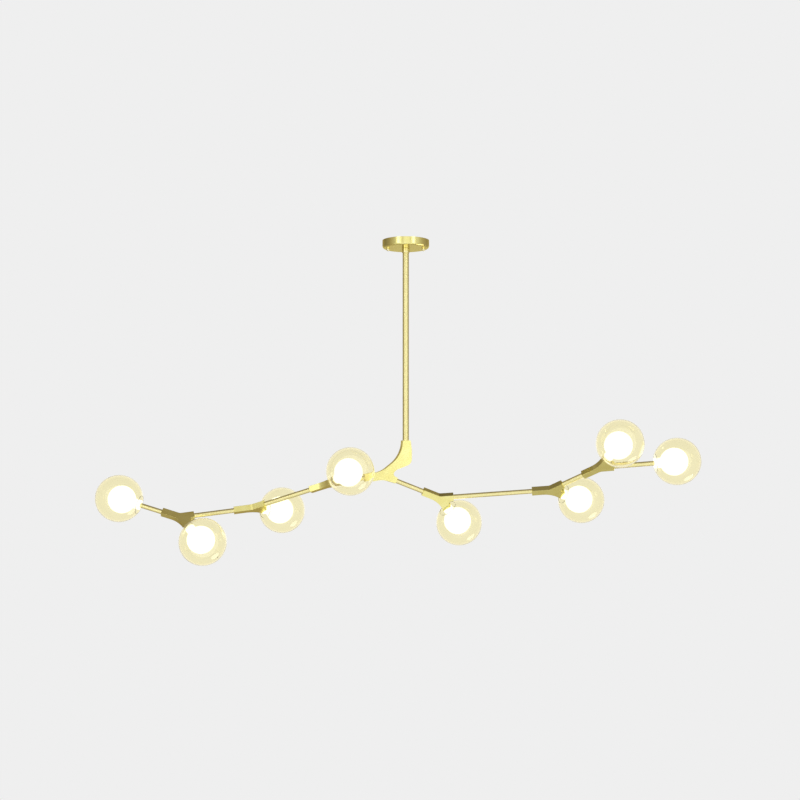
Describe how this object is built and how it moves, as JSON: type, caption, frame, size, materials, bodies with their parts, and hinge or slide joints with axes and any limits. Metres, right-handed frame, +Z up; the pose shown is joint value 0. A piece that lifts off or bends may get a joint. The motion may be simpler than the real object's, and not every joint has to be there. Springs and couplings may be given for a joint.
{
  "type": "branch chandelier",
  "caption": "Ceiling light with an angular branching arm of straight rods and forked joints, each tip holding a clear tinted globe around a white one, hung from a round canopy by a bent stem.",
  "frame": {"origin": "centre of the ceiling strap, on the ceiling plane, on the axis of the stem", "axes": "+Z up into the ceiling, +X to the right as seen from the front (along the branch), +Y away from the viewer"},
  "size_m": [1.5353, 0.2997, 0.8282],
  "materials": {
    "brass": "satin brushed, clear lacquered",
    "steel": "zinc plated, satin",
    "amber_glass": "blown glass, clear, pale amber tint, polished",
    "white_glass": "opal glass, etched matt",
    "black_plastic": "moulded, fine texture",
    "wire_sleeve": "smooth round flex sheath"
  },
  "bodies": {
    "ceiling": {"ceiling_bracket": "steel", "bracket_studs": "steel", "canopy": "brass", "canopy_nuts": "brass", "terminal_block": "black_plastic", "hanger_nipple": "steel", "hanger_nuts": "steel", "wiring_canopy": "wire_sleeve"},
    "stem": {"stem_collar": "brass", "stem_tube": "brass", "stem_elbow": "brass", "centre_joint": "brass", "rod_left_1": "brass", "rod_right_1": "brass", "wiring_stem": "wire_sleeve"},
    "left_1": {"joint_left_1": "brass", "rod_left_2": "brass", "outer_globe_left_1": "amber_glass", "inner_globe_left_1": "white_glass", "lamp_holder_left_1": "brass", "bulb_left_1": "white_glass", "wiring_left_1": "wire_sleeve"},
    "left_2": {"joint_left_2": "brass", "rod_left_3": "brass", "outer_globe_left_2": "amber_glass", "inner_globe_left_2": "white_glass", "lamp_holder_left_2": "brass", "bulb_left_2": "white_glass", "wiring_left_2": "wire_sleeve"},
    "left_3": {"joint_left_3": "brass", "rod_left_4": "brass", "outer_globe_left_3": "amber_glass", "outer_globe_left_4": "amber_glass", "inner_globe_left_3": "white_glass", "lamp_holder_left_3": "brass", "bulb_left_3": "white_glass", "wiring_left_3": "wire_sleeve"},
    "right_1": {"joint_right_1": "brass", "rod_right_2": "brass", "outer_globe_right_1": "amber_glass", "inner_globe_right_1": "white_glass", "lamp_holder_right_1": "brass", "bulb_right_1": "white_glass", "wiring_right_1": "wire_sleeve"},
    "right_2": {"joint_right_2": "brass", "rod_right_3": "brass", "outer_globe_right_2": "amber_glass", "inner_globe_right_2": "white_glass", "lamp_holder_right_2": "brass", "bulb_right_2": "white_glass", "wiring_right_2": "wire_sleeve"},
    "right_3": {"joint_right_3": "brass", "rod_right_4": "brass", "outer_globe_right_3": "amber_glass", "outer_globe_right_4": "amber_glass", "inner_globe_right_3": "white_glass", "lamp_holder_right_3": "brass", "bulb_right_3": "white_glass", "wiring_right_3": "wire_sleeve"}
  },
  "joints": [
    {"name": "stem_swivel", "type": "hinge", "parent": "ceiling", "child": "stem", "pos_m": [0, 0, 0], "axis": [0, 0, 1], "range_deg": [-170, 170]},
    {"name": "left_swivel_1", "type": "hinge", "parent": "stem", "child": "left_1", "pos_m": [-0.1983, -0.05128, -0.62508], "axis": [-0.957, -0.2475, -0.1513], "range_deg": [-165, 165]},
    {"name": "left_swivel_2", "type": "hinge", "parent": "left_1", "child": "left_2", "pos_m": [-0.39496, 0.00187, -0.68726], "axis": [-0.9233, 0.2495, -0.2919], "range_deg": [-165, 165]},
    {"name": "left_swivel_3", "type": "hinge", "parent": "left_2", "child": "left_3", "pos_m": [-0.57336, -0.04191, -0.70926], "axis": [-0.9643, -0.2366, -0.1189], "range_deg": [-165, 165]},
    {"name": "right_swivel_1", "type": "hinge", "parent": "stem", "child": "right_1", "pos_m": [0.08665, 0.02241, -0.66148], "axis": [0.902, 0.2333, -0.3633], "range_deg": [-165, 165]},
    {"name": "right_swivel_2", "type": "hinge", "parent": "right_1", "child": "right_2", "pos_m": [0.37278, 0.01352, -0.64093], "axis": [0.997, -0.031, 0.0716], "range_deg": [-165, 165]},
    {"name": "right_swivel_3", "type": "hinge", "parent": "right_2", "child": "right_3", "pos_m": [0.49024, -0.04078, -0.58248], "axis": [0.8272, -0.3824, 0.4116], "range_deg": [-165, 165]}
  ]
}
